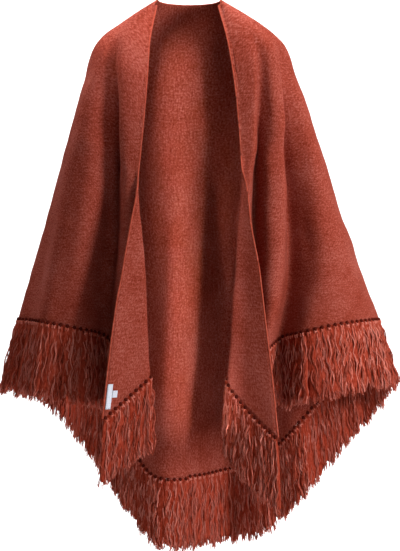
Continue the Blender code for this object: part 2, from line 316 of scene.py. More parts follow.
STRETCHES = (
    Stretch("fringe_left_lapel", -1, 0),
    Stretch("fringe_left_front", 0, 1),
    Stretch("fringe_back_left", 1, 1.6),
    Stretch("fringe_back_centre", 1.6, 2.4),
    Stretch("fringe_back_right", 2.4, 3),
    Stretch("fringe_right_front", 3, 4),
    Stretch("fringe_right_lapel", 4, 5),
)
LENGTH_PLACES = (-1, 0, 1, 1.25, 1.5, 1.75, 2, 2.25, 2.6, 3, 4, 5)
FRINGE_LENGTHS = (0.136, 0.154, 0.160, 0.174, 0.156, 0.145, 0.157, 0.166, 0.152, 0.145, 0.152, 0.154)
FRINGE_FOLLOW = (0.45, 0.45, 0.85, 0.5, 0.85, 0.45, 0.45)

LABEL = Tab("woven_label", -0.852, 0.050, 0.011, 0.003)
SIZE_TAB = Tab("size_tab", -0.829, 0.014, 0.011, 0.0145)


def ease(value: np.ndarray | float) -> np.ndarray:
    """0 below 0, 1 above 1, and a smooth S between."""
    value = np.clip(value, 0, 1)
    return value * value * (3 - 2 * value)


def between(ends: tuple[float, float], share: np.ndarray | float) -> np.ndarray | float:
    """A value that goes evenly from the first end to the second."""
    return ends[0] + (ends[1] - ends[0]) * share


def unit(vectors: np.ndarray) -> np.ndarray:
    """The vectors at length 1."""
    return vectors / np.linalg.norm(vectors, axis=-1, keepdims=True)


def lengths_along(points: np.ndarray) -> np.ndarray:
    """The distance of each point of each row from the row's first point."""
    steps = np.linalg.norm(np.diff(points, axis=-2), axis=-1)
    return np.concatenate([np.zeros_like(steps[..., :1]), np.cumsum(steps, axis=-1)], axis=-1)


def points_at(points: np.ndarray, along: np.ndarray, distances: np.ndarray) -> np.ndarray:
    """Points at the given distances along a line.

    Args:
        points: The points that the line goes through.
        along: The distance of each from the first.
        distances: The distances that are wanted.

    Returns:
        A point for each distance.
    """
    axes = range(points.shape[1])
    return np.stack([np.interp(distances, along, points[:, axis]) for axis in axes], axis=-1)


def column_at(rows: tuple, column: str, levels: np.ndarray) -> np.ndarray:
    """The values of one column of a table at the given levels.

    Args:
        rows: The table, a row for each known level.
        column: The name of the column.
        levels: The levels that are wanted.

    Returns:
        A cubic through each pair of rows, with the slopes that the rows around them give.
    """
    known = np.array([row.level for row in rows])
    values = np.array([getattr(row, column) for row in rows])
    slopes = np.gradient(values, known)
    before = np.clip(np.searchsorted(known, levels, side="right") - 1, 0, len(rows) - 2)
    after = before + 1
    span = known[after] - known[before]
    t = (levels - known[before]) / span
    start = (2 * t**3 - 3 * t**2 + 1) * values[before] + (t**3 - 2 * t**2 + t) * span * slopes[before]
    end = (3 * t**2 - 2 * t**3) * values[after] + (t**3 - t**2) * span * slopes[after]
    return start + end


@dataclass
class Sheet:
    """The draped cloth as a grid.

    Attributes:
        points: Level by column by three, from the neck edge to the hem and from the left lapel to the right.
        places: The place of each column, -1 to 5.
        levels: The level of each row, 0 to 1.
        flat: Level by column by two, where each point lies in the flat cut.
    """

    points: np.ndarray
    places: np.ndarray
    levels: np.ndarray
    flat: np.ndarray = field(init=False)

    def __post_init__(self) -> None:
        """Lays the sheet out flat, in half ellipses round the neck edge."""
        along = lengths_along(self.points)
        angle = math.pi * (1 - along / along[:, -1:])
        reach = (FLAT_SIZE[0] / 2 - NECK_REACH) * self.levels[:, None] + NECK_REACH
        drop = FLAT_SIZE[1] * self.levels[:, None]
        self.flat = np.stack([reach * np.cos(angle), drop * np.sin(angle)], axis=-1)

    def outward(self) -> np.ndarray:
        """The direction away from the wearer at each point, across the columns and down the levels."""
        ahead = np.gradient(self.points, axis=1)
        down = np.gradient(self.points, axis=0)
        return unit(np.cross(ahead, down))

    def column_number(self, places: np.ndarray | float) -> np.ndarray | float:
        """The column that lies at a place, as a number with a fraction."""
        return np.interp(places, self.places, np.arange(len(self.places)))


@dataclass
class Drape:
    """Works out how the cloth hangs, from the tables above."""

    levels: np.ndarray

    def lapel_shape(self, hand: Hand) -> tuple[np.ndarray, np.ndarray, np.ndarray, np.ndarray]:
        """The lapel's sizes at each level.

        Args:
            hand: Which lapel.

        Returns:
            Its turn, the turn's radius, its length and how far it reaches past the end of the ring.
        """
        lapel = LAPELS[hand]
        turn = lapel.turn * ease((self.levels - lapel.turn_start) / (lapel.turn_end - lapel.turn_start))
        radius = between(LAPEL_TURN_RADIUS, self.levels)
        length = column_at(FRONT_EDGES, f"{hand.value}_lapel", self.levels)
        straight = radius * np.sin(turn) + (length - radius * turn) * np.cos(turn)
        reach = np.where(turn < math.pi / 2, straight, radius)
        return turn, radius, length, reach

    def plain_ring(self) -> np.ndarray:
        """The rings before they fold: a quarter of an ellipse for each front and each half of the back.

        Returns:
            Level by place by three. Each quarter falls from its side to its front or back as a power of the
            sine or cosine of its angle.
        """
        levels = self.levels[:, None]
        at = {name: column_at(SECTIONS, name, self.levels)[:, None] for name in Section.__annotations__}
        halves = {}
        for hand, sign in ((Hand.LEFT, -1), (Hand.RIGHT, 1)):
            side = at[f"{hand.value}_side"]
            fold = column_at(FRONT_EDGES, f"{hand.value}_fold", self.levels)
            front_end = (fold + self.lapel_shape(hand)[3])[:, None]
            from_front = (RING_PLACES if hand is Hand.LEFT else 4 - RING_PLACES)[None, :]
            angle = from_front * math.pi / 2
            front = from_front <= 1
            x = np.where(front, front_end + (side - front_end) * np.sin(angle), side * np.sin(angle))
            y = np.where(front, -at["front_y"], -at["back_y"]) * np.cos(angle)
            front_fall = np.clip(1 - np.sin(angle), 0, 1) ** between(FRONT_FALL, levels)
            back_fall = np.clip(-np.cos(angle) / BACK_FLAT, 0, None) ** between(BACK_FALL[hand], levels)
            back_fall /= (1 + back_fall**BACK_FLAT_SHARPNESS) ** (1 / BACK_FLAT_SHARPNESS)
            front_z = (at["front_z"] - at["side_z"]) * front_fall
            back_z = (at["back_z"] - at["side_z"]) * back_fall
            z = at["side_z"] + np.where(front, front_z, back_z)
            halves[hand] = np.stack([sign * x, y, z], axis=-1)
        on_left = (RING_PLACES <= 2)[None, :, None]
        return np.where(on_left, halves[Hand.LEFT], halves[Hand.RIGHT])

    def folded_ring(self) -> np.ndarray:
        """The rings with their large folds.

        Returns:
            Level by place by three. Each fold moves the cloth out or in as a bell curve, most at its middle.
        """
        points = self.plain_ring()
        along = lengths_along(points)
        heading = unit(np.gradient(points[..., :2], axis=1))
        outward = np.stack([-heading[..., 1], heading[..., 0]], axis=-1)
        free = ease(np.minimum(along, along[:, -1:] - along) / FRONT_EDGE_STRETCH)
        folded = points.copy()
        for fold in FOLDS.values():
            place = np.interp(self.levels, FOLD_LEVELS, (fold.shoulder, fold.chest, fold.hem))
            middle = self.distance_at(along, place)
            width = fold.width * between((FOLD_WIDTH_AT_NECK, 1), self.levels)[:, None]
            depth = fold.depth * ease((self.levels - fold.start) / (fold.full - fold.start))[:, None]
            bell = depth * np.exp(-0.5 * ((along - middle) / width) ** 2) * free
            lean = math.radians(fold.lean)
            folded[..., 0] += bell * (outward[..., 0] * math.cos(lean) - outward[..., 1] * math.sin(lean))
            folded[..., 1] += bell * (outward[..., 0] * math.sin(lean) + outward[..., 1] * math.cos(lean))
        return folded

    def distance_at(self, along: np.ndarray, places: np.ndarray) -> np.ndarray:
        """How far along each ring its place lies.

        Args:
            along: The distance of each point of each ring from its start.
            places: One place for each ring.

        Returns:
            The distances, as a column.
        """
        position = places / RING_PLACES[-1] * (len(RING_PLACES) - 1)
        before = np.clip(position.astype(int), 0, len(RING_PLACES) - 2)
        row = np.arange(len(places))
        share = position - before
        return (along[row, before] * (1 - share) + along[row, before + 1] * share)[:, None]

    def lapel(self, hand: Hand, ends: np.ndarray) -> np.ndarray:
        """The lapel's points, from the end of each ring round the turn and across the flat to the free edge.

        Args:
            hand: Which lapel.
            ends: The end of the ring at each level.

        Returns:
            Level by column by three. A point at distance d turns by d / radius until the turn is complete,
            then goes straight, and drops by a power of its share of the way to the corner.
        """
        turn, radius, length, _ = (value[:, None] for value in self.lapel_shape(hand))
        lapel = LAPELS[hand]
        turned = radius * turn
        turn_stretch = np.maximum(turned, LAPEL_TURN_SHARE * length)
        to_turn = np.linspace(0, 1, LAPEL_TURN_COLUMNS + 1)[None, 1:]
        to_edge = np.linspace(0, 1, LAPEL_FLAT_COLUMNS + 1)[None, 1:]
        distances = np.hstack([to_turn * turn_stretch, turn_stretch + to_edge * (length - turn_stretch)])
        angle = np.minimum(distances / radius, turn)
        flat = np.maximum(distances - turned, 0)
        inward = radius * np.sin(angle) + flat * np.cos(turn)
        forward = radius * (1 - np.cos(angle)) + flat * np.sin(turn)
        past_fold = np.clip((distances - turned / 2) / (length - turned / 2), 0, 1)
        drop = lapel.corner_drop * self.levels[:, None] ** LAPEL_DROP_GROWTH * past_fold**lapel.drop_power
        towards_middle = 1 if hand is Hand.LEFT else -1
        return ends[:, None, :] + np.stack([towards_middle * inward, -forward, -drop], axis=-1)

    def sheet(self) -> Sheet:
        """The whole sheet with its large folds.

        Returns:
            The sheet, its columns evenly spaced along each quarter of the ring.
        """
        rings = self.folded_ring()
        along = lengths_along(rings)
        each_level = np.ones(len(self.levels))
        quarter_ends = np.stack([self.distance_at(along, each_level * place) for place in range(5)])
        shares = [np.linspace(0, 1, count + 1)[1:] for count in QUARTER_COLUMNS]
        distances = [quarter_ends[0]]
        for quarter, share in enumerate(shares):
            start, end = quarter_ends[quarter], quarter_ends[quarter + 1]
            distances.append(start + share[None, :] * (end - start))
        distances = np.hstack(distances)
        rows = np.array([points_at(*row) for row in zip(rings, along, distances)])
        left = self.lapel(Hand.LEFT, rows[:, 0])
        right = self.lapel(Hand.RIGHT, rows[:, -1])
        points = np.concatenate([left[:, ::-1], rows, right], axis=1)
        lapel_columns = LAPEL_TURN_COLUMNS + LAPEL_FLAT_COLUMNS
        ring_places = np.concatenate([[0.0], *(quarter + share for quarter, share in enumerate(shares))])
        lapel_places = np.arange(1, lapel_columns + 1) / lapel_columns
        places = np.concatenate([-lapel_places[::-1], ring_places, 4 + lapel_places])
        return Sheet(points, places, self.levels)

    def creased_sheet(self) -> Sheet:
        """The sheet with its smaller creases and its soft unevenness.

        Returns:
            The sheet, each point moved along its outward direction. A crease is a bell across its run, of
            one width before its middle and another after it, and fades at both ends.
        """
        sheet = self.sheet()
        outward = sheet.outward()
        along = lengths_along(sheet.points)
        moved = np.zeros(along.shape)
        columns = np.arange(len(sheet.places))
        for crease in CREASES.values():
            share = (self.levels - crease.start_level) / (crease.end_level - crease.start_level)
            place = crease.start_place + (crease.end_place - crease.start_place) * np.clip(share, 0, 1)
            numbers = sheet.column_number(place)
            pairs = zip(numbers, along)
            middle = np.array([np.interp(number, columns, row) for number, row in pairs])[:, None]
            grown = ease(share / CREASE_FADE)
            faded = ease((1 - share) / CREASE_FADE) if crease.end_level < 1 else 1.0
            away = along - middle
            width = np.where(away < 0, crease.before, crease.after)
            moved += (crease.depth * grown * faded)[:, None] * np.exp(-0.5 * (away / width) ** 2)
        moved += self.unevenness(sheet)
        sheet.points = sheet.points + outward * moved[..., None]
        return sheet

    def unevenness(self, sheet: Sheet) -> np.ndarray:
        """A few slow waves in the flat cut, of about a millimetre, less near the neck edge.

        Args:
            sheet: The sheet, with its flat cut.

        Returns:
            How far out each point moves.
        """
        rng = np.random.default_rng(11)
        waves = np.zeros(sheet.points.shape[:2])
        for length in WAVE_LENGTHS:
            way = rng.uniform(0, math.tau)
            phase = rng.uniform(0, math.tau)
            across = sheet.flat[..., 0] * math.cos(way) + sheet.flat[..., 1] * math.sin(way)
            waves += WAVE_HEIGHT * length * np.sin(math.tau * across / length + phase)
        return waves * ease(self.levels / WAVE_FREE_LEVEL)[:, None]


class Shader:
    """The node tree of one material."""

    def __init__(self, name: str) -> None:
        """Starts a material with its Principled shader."""
        self.material = bpy.data.materials.new(name)
        self.material.use_nodes = True
        self.tree = self.material.node_tree
        self.surface = self.tree.nodes["Principled BSDF"]

    def node(self, kind: str, settings: dict | None = None, sockets: dict | None = None) -> bpy.types.Node:
        """Adds a node.

        Args:
            kind: The node's type.
            settings: Its properties.
            sockets: Its inputs by name or number; an output is linked, and anything else is set.

        Returns:
            The node.
        """
        made = self.tree.nodes.new(kind)
        for name, value in (settings or {}).items():
            setattr(made, name, value)
        for name, value in (sockets or {}).items():
            self.feed(made, name, value)
        return made

    def feed(self, node: bpy.types.Node, name: str | int, value: object) -> None:
        """Links an output to an input, or sets the input."""
        if isinstance(value, bpy.types.NodeSocket):
            self.tree.links.new(value, node.inputs[name])
        else:
            node.inputs[name].default_value = value

    def math(self, operation: str, first: object, second: object = 0.0,
             third: object = 0.0) -> bpy.types.NodeSocket:
        """The output of one sum."""
        sockets = {0: first, 1: second, 2: third}
        return self.node("ShaderNodeMath", {"operation": operation}, sockets).outputs[0]

    def noise(self, vector: bpy.types.NodeSocket, scale: float, detail: float = 2.0,
              roughness: float = 0.5) -> bpy.types.NodeSocket:
        """The value of a noise texture in the given coordinates."""
        sockets = {"Vector": vector, "Scale": scale, "Detail": detail, "Roughness": roughness}
        return self.node("ShaderNodeTexNoise", None, sockets).outputs["Fac"]

    def stretched(self, vector: bpy.types.NodeSocket,
                  scale: tuple[float, float, float]) -> bpy.types.NodeSocket:
        """A vector scaled along each axis."""
        sockets = {"Vector": vector, "Scale": scale}
        return self.node("ShaderNodeMapping", None, sockets).outputs["Vector"]

    def ramp(self, value: bpy.types.NodeSocket, stops: tuple) -> bpy.types.NodeSocket:
        """A colour ramp.

        Args:
            value: What picks the colour.
            stops: The position and the colour of each stop.

        Returns:
            The colour.
        """
        made = self.node("ShaderNodeValToRGB", None, {"Fac": value})
        elements = made.color_ramp.elements
        while len(elements) < len(stops):
            elements.new(0.5)
        for element, (position, colour) in zip(elements, stops):
            element.position = position
            element.color = (*colour, 1.0)
        return made.outputs["Color"]

    def darkened(self, colour: bpy.types.NodeSocket, shade: bpy.types.NodeSocket) -> bpy.types.NodeSocket:
        """A colour times a shade."""
        settings = {"data_type": "RGBA", "blend_type": "MULTIPLY"}
        return self.node("ShaderNodeMix", settings, {0: 1.0, 6: colour, 7: shade}).outputs[2]

    def bump(self, height: bpy.types.NodeSocket, distance: float, strength: float = 1.0) -> None:
        """Gives the surface a bump, stacked on any bump it already has.

        Args:
            height: The height of each spot, 0 to 1.
            distance: What a height of 1 stands for, in metres.
            strength: How much of it shows.
        """
        sockets = {"Height": height, "Distance": distance, "Strength": strength}
        if self.surface.inputs["Normal"].links:
            sockets["Normal"] = self.surface.inputs["Normal"].links[0].from_socket
        made = self.node("ShaderNodeBump", None, sockets)
        self.tree.links.new(made.outputs["Normal"], self.surface.inputs["Normal"])

    def finish(self, roughness: float, specular: float, sheen: float = 0.0) -> bpy.types.Material:
        """Sets the surface's constants.

        Args:
            roughness: The roughness.
            specular: The level of the shine.
            sheen: The weight of the sheen.

        Returns:
            The material.
        """
        values = {"Roughness": roughness, "Specular IOR Level": specular, "Sheen Weight": sheen}
        for name, value in values.items():
            self.feed(self.surface, name, value)
        return self.material


@dataclass(frozen=True)
class KnitFinish:
    """The brushed heather knit: its colours, its heather and its stitches, with painted shade in the
    stitches' grooves.
    """

    dark: tuple[float, float, float] = (0.185, 0.017, 0.006)
    middle: tuple[float, float, float] = (0.312, 0.053, 0.031)
    light: tuple[float, float, float] = (0.446, 0.123, 0.097)
    stops: tuple[float, float, float] = (0.36, 0.50, 0.64)
    speckle_share: float = 0.75
    patch_strength: float = 0.22
    wale: float = 0.0032
    course: float = 0.0026
    leg_slant: float = 0.9
    row_share: float = 0.35
    painted_groove_shade: float = 0.84
    painted_stitch_shade: float = 0.22
    stitch_height: float = 0.0004
    fuzz_height: float = 0.0004
    streak_height: float = 0.0006

    def material(self) -> bpy.types.Material:
        """Builds the material in the metres of the flat cut."""
        shader = Shader("rust_heather_knit")
        flat = shader.node("ShaderNodeUVMap", {"uv_map": "flat_cut"}).outputs["UV"]
        speckle = shader.noise(flat, scale=230.0, detail=4.0, roughness=0.7)
        streak = self.streak(shader)
        patch = shader.noise(flat, scale=9.0, detail=3.0)
        streaks = shader.math("MULTIPLY", streak, 1 - self.speckle_share)
        heather = shader.math("MULTIPLY_ADD", speckle, self.speckle_share, streaks)
        patches = shader.math("SUBTRACT", patch, 0.5)
        heather = shader.math("MULTIPLY_ADD", patches, self.patch_strength, heather)
        colour = shader.ramp(heather, tuple(zip(self.stops, (self.dark, self.middle, self.light))))
        stitches = self.stitches(shader, flat)
        # Painted shade: the colour is darker in the grooves between the stitches and a little lighter on
        # their tops
        shade = shader.math("MULTIPLY_ADD", stitches, self.painted_stitch_shade, self.painted_groove_shade)
        shader.feed(shader.surface, "Base Color", shader.darkened(colour, shade))
        fuzz = shader.noise(flat, scale=900.0, detail=3.0, roughness=0.7)
        shader.bump(stitches, distance=self.stitch_height)
        shader.bump(fuzz, distance=self.fuzz_height, strength=0.5)
        shader.bump(streak, distance=self.streak_height, strength=0.5)
        return shader.finish(roughness=0.75, specular=0.04)

    def streak(self, shader: Shader) -> bpy.types.NodeSocket:
        """A fine streak in the yarn.

        Args:
            shader: The material that it's for.

        Returns:
            Its value: it runs level across the fronts and upright down the back.
        """
        place = shader.node("ShaderNodeTexCoord").outputs["Object"]
        depth = shader.node("ShaderNodeSeparateXYZ", None, {0: place}).outputs["Y"]
        on_back = shader.math("GREATER_THAN", depth, 0.0)
        wide = shader.stretched(place, (55.0, 55.0, 380.0))
        level = shader.noise(wide, scale=1.0, detail=3.0, roughness=0.6)
        tall = shader.stretched(place, (380.0, 55.0, 55.0))
        upright = shader.noise(tall, scale=1.0, detail=3.0, roughness=0.6)
        return shader.math("MULTIPLY_ADD", shader.math("SUBTRACT", upright, level), on_back, level)

    def stitches(self, shader: Shader, flat: bpy.types.NodeSocket) -> bpy.types.NodeSocket:
        """The height of the stitches.

        Args:
            shader: The material that it's for.
            flat: The coordinates in the flat cut.

        Returns:
            The height: each wale is two legs that slant up to its middle, course by course.
        """
        parts = shader.node("ShaderNodeSeparateXYZ", None, {0: flat})
        wale = shader.math("DIVIDE", parts.outputs["X"], self.wale)
        course = shader.math("DIVIDE", parts.outputs["Y"], self.course)
        legs = shader.math("PINGPONG", wale, 0.5)
        slanted = shader.math("MULTIPLY_ADD", legs, self.leg_slant, course)
        rows = shader.math("SINE", shader.math("MULTIPLY", slanted, math.tau))
        ribs = shader.math("SINE", shader.math("MULTIPLY", legs, math.tau))
        rounded = shader.math("MULTIPLY_ADD", rows, self.row_share, 1 - self.row_share)
        return shader.math("MULTIPLY", rounded, ribs)


@dataclass(frozen=True)
class YarnFinish:
    """The loose yarn of the fringe, the knots and the rolled edge: each strand has its own tone."""

    # hollow is the colour of the painted shade in the knots' holes
    hollow: tuple[float, float, float] = (0.075, 0.008, 0.004)
    dark: tuple[float, float, float] = (0.220, 0.018, 0.006)
    middle: tuple[float, float, float] = (0.418, 0.073, 0.041)
    light: tuple[float, float, float] = (0.635, 0.208, 0.160)
    stops: tuple[float, float, float, float] = (0.0, 0.08, 0.50, 0.90)
    mottle_strength: float = 0.8
    fuzz_height: float = 0.0004

    def material(self) -> bpy.types.Material:
        """Builds the material from the strands' own tone and a noise along them."""
        shader = Shader("rust_yarn")
        tone = shader.node("ShaderNodeAttribute", {"attribute_name": "tone"}).outputs["Fac"]
        place = shader.node("ShaderNodeTexCoord").outputs["Object"]
        along = shader.stretched(place, (420.0, 420.0, 140.0))
        mottle = shader.noise(along, scale=1.0, detail=2.0, roughness=0.6)
        value = shader.math("MULTIPLY_ADD", shader.math("SUBTRACT", mottle, 0.5), self.mottle_strength, tone)
        stops = tuple(zip(self.stops, (self.hollow, self.dark, self.middle, self.light)))
        shader.feed(shader.surface, "Base Color", shader.ramp(value, stops))
        fuzz = shader.noise(place, scale=1500.0, detail=2.0, roughness=0.6)
        shader.bump(fuzz, distance=self.fuzz_height, strength=0.6)
        return shader.finish(roughness=0.75, specular=0.04)


@dataclass(frozen=True)
class TapeFinish:
    """White woven tape, with painted shade in the grooves of its twill."""

    colour: tuple[float, float, float] = (0.74, 0.76, 0.86)
    painted_groove_shade: float = 0.86
    thread: float = 0.0006
    thread_height: float = 0.0002

    def material(self) -> bpy.types.Material:
        """Builds the material with its fine twill."""
        shader = Shader("white_woven_tape")
        place = shader.node("ShaderNodeTexCoord").outputs["Object"]
        weave = shader.node("ShaderNodeTexWave", {"bands_direction": "DIAGONAL"},
                            {"Vector": place, "Scale": 0.3 / self.thread, "Distortion": 0.6}).outputs["Fac"]
        # Painted shade: the twill's grooves are coloured darker
        groove = tuple(self.painted_groove_shade * value for value in self.colour)
        shader.feed(shader.surface, "Base Color", shader.ramp(weave, ((0.0, groove), (1.0, self.colour))))
        shader.bump(weave, distance=self.thread_height, strength=0.8)
        return shader.finish(roughness=0.55, specular=0.4, sheen=0.1)


@dataclass(frozen=True)
class BackdropFinish:
    """The pale floor and backdrop."""

    colour: tuple[float, float, float] = (0.92, 0.92, 0.92)

    def material(self) -> bpy.types.Material:
        """A plain pale material, clear from behind, so that a view from the back looks through the wall."""
        shader = Shader("pale_backdrop")
        place = shader.node("ShaderNodeTexCoord").outputs["Object"]
        grain = shader.noise(place, scale=3.0)
        colour = shader.ramp(grain, ((0.3, tuple(0.99 * value for value in self.colour)), (0.7, self.colour)))
        shader.feed(shader.surface, "Base Color", colour)
        material = shader.finish(roughness=0.9, specular=0.1)
        output = next(node for node in material.node_tree.nodes if node.type == "OUTPUT_MATERIAL")
        side = shader.node("ShaderNodeNewGeometry").outputs["Backfacing"]
        both = shader.node("ShaderNodeMixShader")
        shader.feed(both, 0, side)
        shader.feed(both, 1, shader.surface.outputs["BSDF"])
        shader.feed(both, 2, shader.node("ShaderNodeBsdfTransparent").outputs["BSDF"])
        shader.feed(output, "Surface", both.outputs["Shader"])
        return material


def grid_faces(rows: int, columns: int, round_columns: bool = False) -> np.ndarray:
    """The faces of a grid of points.

    Args:
        rows: The number of rows.
        columns: The number of points in a row.
        round_columns: Whether each row closes on itself.

    Returns:
        Face by four, numbered row by row.
    """
    row, column = np.meshgrid(np.arange(rows - 1), np.arange(columns - (not round_columns)), indexing="ij")
    after = (column + 1) % columns
    corners = (row * columns + column, row * columns + after, (row + 1) * columns + after,
               (row + 1) * columns + column)
    return np.stack(corners, axis=-1).reshape(-1, 4)


def new_piece(name: str, points: np.ndarray, faces: list | np.ndarray, material: bpy.types.Material,
              uv: np.ndarray | None = None, tone: np.ndarray | None = None) -> bpy.types.Object:
    """A mesh object at the origin.

    Args:
        name: The piece's name.
        points: Point by three.
        faces: The corners of each face.
        material: Its material.
        uv: The place of each point in the flat cut, where it has one.
        tone: The lightness of each point, where it has one.

    Returns:
        The object, riding on the root body.
    """
    mesh = bpy.data.meshes.new(name)
    mesh.from_pydata(points.reshape(-1, 3), [], faces)
    mesh.shade_smooth()
    mesh.materials.append(material)
    if uv is not None:
        corners = np.empty(len(mesh.loops), dtype=np.int32)
        mesh.loops.foreach_get("vertex_index", corners)
        layer = mesh.uv_layers.new(name="flat_cut")
        layer.data.foreach_set("uv", uv.reshape(-1, 2)[corners].astype(np.float32).ravel())
    if tone is not None:
        layer = mesh.attributes.new("tone", "FLOAT", "POINT")
        layer.data.foreach_set("value", tone.astype(np.float32).ravel())
    piece = bpy.data.objects.new(name, mesh)
    bpy.context.scene.collection.objects.link(piece)
    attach(piece, "root")
    log.info("%s: %d points, %d faces", name, len(mesh.vertices), len(mesh.polygons))
    return piece


@dataclass
class Tubes:
    """Many tubes of one make, held as arrays.

    Attributes:
        centres: Tube by point by three.
        across: Tube by three, or tube by point by three: one direction square to the tube.
        outward: As across, square to it.
        radii: Tube by point.
        sides: The number of sides.
        closed: Whether each tube is a ring.
    """

    centres: np.ndarray
    across: np.ndarray
    outward: np.ndarray
    radii: np.ndarray
    sides: int
    closed: bool = False

    def points(self) -> np.ndarray:
        """The points of every tube.

        Returns:
            Tube by point by side by three: the centre plus the radius, turned between across and outward.
        """
        turn = np.arange(self.sides) * math.tau / self.sides
        across, outward = ((way if way.ndim == 3 else way[:, None, :])[:, :, None, :]
                           for way in (self.across, self.outward))
        circle = across * np.cos(turn)[:, None] + outward * np.sin(turn)[:, None]
        return self.centres[:, :, None, :] + circle * self.radii[:, :, None, None]

    def faces(self) -> list:
        """The faces of every tube.

        Returns:
            The corners of each face, with a face over each end of a tube that has ends.
        """
        tubes, length = self.centres.shape[:2]
        each = length * self.sides
        one = grid_faces(length, self.sides, round_columns=True)
        if self.closed:
            side = np.arange(self.sides)
            last = (length - 1) * self.sides
            after = (side + 1) % self.sides
            one = np.vstack([one, np.stack([last + side, last + after, after, side], axis=-1)])
        starts = np.arange(tubes) * each
        faces = (one[None, :, :] + starts[:, None, None]).reshape(-1, 4).tolist()
        if not self.closed:
            cap = np.arange(self.sides)
            faces += (starts[:, None] + cap[::-1]).tolist()
            faces += (starts[:, None] + (each - self.sides) + cap).tolist()
        return faces


def joined(groups: list[tuple[Tubes, np.ndarray]]) -> tuple[np.ndarray, list, np.ndarray]:
    """Several groups of tubes as one mesh.

    Args:
        groups: The tubes of each group, and the tone of each tube.

    Returns:
        The points, the faces and the tone of each point.
    """
    points, faces, tones, start = [], [], [], 0
    for tubes, tone in groups:
        placed = tubes.points()
        points.append(placed.reshape(-1, 3))
        faces += [[corner + start for corner in face] for face in tubes.faces()]
        per_tube = placed.shape[1] * placed.shape[2]
        tones.append(np.repeat(tone, per_tube))
        start += len(points[-1])
    return np.vstack(points), faces, np.concatenate(tones)


def thicken(piece: bpy.types.Object, thickness: float) -> None:
    """Gives a sheet its thickness, half on each side."""
    wall = piece.modifiers.new("wall", "SOLIDIFY")
    wall.thickness = thickness
    wall.offset = 0


@dataclass
class KnitCloth:
    """The draped cloth itself."""

    sheet: Sheet
    material: bpy.types.Material

    def build(self) -> bpy.types.Object:
        """A thin wall on the sheet's grid."""
        rows, columns = self.sheet.points.shape[:2]
        faces = grid_faces(rows, columns)[:, ::-1]
        piece = new_piece("knit_cloth", self.sheet.points, faces, self.material, uv=self.sheet.flat)
        thicken(piece, CLOTH_THICKNESS)
        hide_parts("shawl_cloth")
        return piece


@dataclass
class RolledEdge:
    """The thin roll along the straight edge of the cut: up one front, round the neck and down the other."""

    sheet: Sheet
    material: bpy.types.Material
    radius: float = 0.0017
    spacing: float = 0.006
    inset: float = 0.002
    sides: int = 8
    least_level: float = 0.2
    unevenness: tuple = ((0.12, 700), (0.08, 173))

    def build(self) -> bpy.types.Object:
        """One tube along the edge, a little uneven, its centre just past the cloth."""
        points = self.sheet.points
        line = np.vstack([points[::-1, 0], points[0, 1:], points[1:, -1]])
        along = lengths_along(line)
        distances = np.arange(self.inset, along[-1] - self.inset, self.spacing)
        centres = points_at(line, along, distances)
        ahead = unit(np.gradient(centres, axis=0))
        level = np.cross(ahead, (0.0, 0.0, 1.0))
        level[np.linalg.norm(level, axis=1) <= self.least_level] = (1.0, 0.0, 0.0)
        across = unit(level)
        outward = np.cross(ahead, across)
        uneven = sum(share * np.sin(distances * beat) for share, beat in self.unevenness)
        radii = self.radius * (1 + uneven)
        tubes = Tubes(centres[None], across[None], outward[None], radii[None], self.sides)
        placed, faces, tone = joined([(tubes, np.array([ROLLED_EDGE_TONE]))])
        piece = new_piece("rolled_edge", placed, faces, self.material, tone=tone)
        return piece


